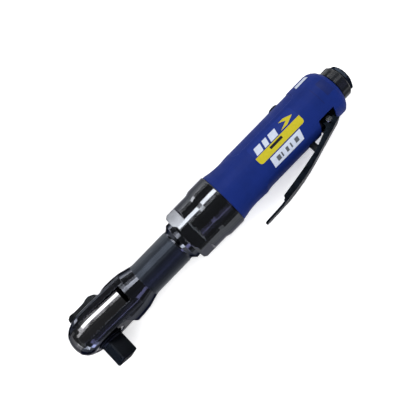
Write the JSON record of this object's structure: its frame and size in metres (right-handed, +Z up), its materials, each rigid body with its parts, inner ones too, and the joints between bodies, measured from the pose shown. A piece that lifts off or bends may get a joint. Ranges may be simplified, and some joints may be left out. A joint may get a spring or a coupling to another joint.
{
  "type": "air ratchet",
  "caption": "Pneumatic ratchet wrench with a square drive head, round clamp nut, rubber-covered grip and squeeze throttle lever.",
  "frame": {"origin": "centre of the square drive's end face", "axes": "+X along the tool from the drive axis to the air inlet, -Y out of the drive's end face, +Z up from the side the tool lies on"},
  "size_m": [0.2645, 0.0557, 0.0422],
  "materials": {
    "black_steel": "gloss black finished steel",
    "dark_steel": "dark hardened steel",
    "bright_steel": "ground steel",
    "spring_steel": "spring steel",
    "aluminium": "machined",
    "blue_rubber": "moulded satin blue",
    "black_plastic": "moulded satin black",
    "brass": "machined",
    "black_rubber": "moulded",
    "vane_composite": "fibre composite"
  },
  "bodies": {
    "tool_body": {"ratchet_housing": "black_steel", "clamp_nut": "black_steel", "ring_gear": "dark_steel", "inlet_bushing": "dark_steel", "valve_cap": "dark_steel", "thrust_washer": "bright_steel", "motor_cylinder": "bright_steel", "front_end_plate": "bright_steel", "rear_end_plate": "bright_steel", "front_rotor_bearing": "bright_steel", "rear_rotor_bearing": "bright_steel", "crank_bearing": "bright_steel", "crank_rear_bearing": "bright_steel", "lever_pin": "bright_steel", "anvil_retaining_ring": "spring_steel", "valve_spring": "spring_steel", "motor_housing": "aluminium", "handle_sleeve": "blue_rubber", "exhaust_deflector": "black_plastic", "inlet_strainer": "brass", "valve_bushing": "brass", "motor_gasket": "black_rubber"},
    "throttle_lever": {"throttle_lever": "black_steel"},
    "valve_plunger": {"valve_plunger": "black_plastic"},
    "anvil": {"anvil": "dark_steel", "socket_ball": "bright_steel", "socket_ball_spring": "spring_steel", "pawl_pin": "bright_steel"},
    "reversing_lever": {"reversing_lever": "black_steel"},
    "pawl": {"pawl": "bright_steel"},
    "ratchet_yoke": {"ratchet_yoke": "black_steel"},
    "crankshaft": {"crankshaft": "dark_steel", "crank_bushing": "bright_steel", "planet_pin_1": "bright_steel", "planet_pin_2": "bright_steel", "planet_pin_3": "bright_steel"},
    "planet_gear_1": {"planet_gear_1": "bright_steel"},
    "planet_gear_2": {"planet_gear_2": "bright_steel"},
    "planet_gear_3": {"planet_gear_3": "bright_steel"},
    "rotor": {"rotor": "bright_steel"},
    "vane_1": {"vane_1": "vane_composite"},
    "vane_2": {"vane_2": "vane_composite"},
    "vane_3": {"vane_3": "vane_composite"},
    "vane_4": {"vane_4": "vane_composite"}
  },
  "joints": [
    {"name": "throttle_squeeze", "type": "hinge", "parent": "tool_body", "child": "throttle_lever", "pos_m": [0.21, 0.0142, 0], "axis": [0, 0, -1], "range_deg": [0, 9.5], "stiffness_Nm_per_rad": 0.8, "springref_deg": -5.73},
    {"name": "valve_plunger_slide", "type": "slide", "parent": "tool_body", "child": "valve_plunger", "axis": [0, 1, 0], "range_m": [0, 0.0034], "deforming": ["valve_spring"]},
    {"name": "anvil_turn", "type": "hinge", "parent": "tool_body", "child": "anvil", "pos_m": [0, 0.0296, 0], "axis": [0, -1, 0], "continuous": true},
    {"name": "reversing_lever_turn", "type": "hinge", "parent": "anvil", "child": "reversing_lever", "pos_m": [0, 0.0296, 0], "axis": [0, 1, 0], "range_deg": [0, 50]},
    {"name": "pawl_rock", "type": "hinge", "parent": "anvil", "child": "pawl", "pos_m": [0, 0.0296, 0.0086], "axis": [0, 1, 0], "range_deg": [-10.2, 0.2]},
    {"name": "yoke_swing", "type": "hinge", "parent": "tool_body", "child": "ratchet_yoke", "pos_m": [0, 0.0296, 0], "axis": [0, 1, 0], "range_deg": [-4.5, 4.5]},
    {"name": "crank_spin", "type": "hinge", "parent": "tool_body", "child": "crankshaft", "pos_m": [0.05, 0.0296, 0], "axis": [1, 0, 0], "continuous": true},
    {"name": "rotor_spin", "type": "hinge", "parent": "tool_body", "child": "rotor", "pos_m": [0.13, 0.0296, 0], "axis": [1, 0, 0], "continuous": true},
    {"name": "planet_spin_1", "type": "hinge", "parent": "crankshaft", "child": "planet_gear_1", "pos_m": [0.095, 0.0296, 0.009], "axis": [1, 0, 0], "continuous": true},
    {"name": "planet_spin_2", "type": "hinge", "parent": "crankshaft", "child": "planet_gear_2", "pos_m": [0.095, 0.02181, -0.0045], "axis": [1, 0, 0], "continuous": true},
    {"name": "planet_spin_3", "type": "hinge", "parent": "crankshaft", "child": "planet_gear_3", "pos_m": [0.095, 0.03739, -0.0045], "axis": [1, 0, 0], "continuous": true},
    {"name": "vane_slide_1", "type": "slide", "parent": "rotor", "child": "vane_1", "axis": [0, 0.7071, 0.7071], "range_m": [0, 0.0026]},
    {"name": "vane_slide_2", "type": "slide", "parent": "rotor", "child": "vane_2", "axis": [0, -0.7071, 0.7071], "range_m": [0, 0.0026]},
    {"name": "vane_slide_3", "type": "slide", "parent": "rotor", "child": "vane_3", "axis": [0, -0.7071, -0.7071], "range_m": [0, 0.0005]},
    {"name": "vane_slide_4", "type": "slide", "parent": "rotor", "child": "vane_4", "axis": [0, 0.7071, -0.7071], "range_m": [0, 0.0005]}
  ],
  "couplings": [
    {"joint": "valve_plunger_slide", "follows": "throttle_squeeze", "m_per_rad": 0.0195},
    {"joint": "pawl_rock", "follows": "reversing_lever_turn", "ratio": -0.2},
    {"joint": "rotor_spin", "follows": "crank_spin", "ratio": 4},
    {"joint": "planet_spin_1", "follows": "crank_spin", "ratio": -3},
    {"joint": "planet_spin_2", "follows": "crank_spin", "ratio": -3},
    {"joint": "planet_spin_3", "follows": "crank_spin", "ratio": -3}
  ]
}
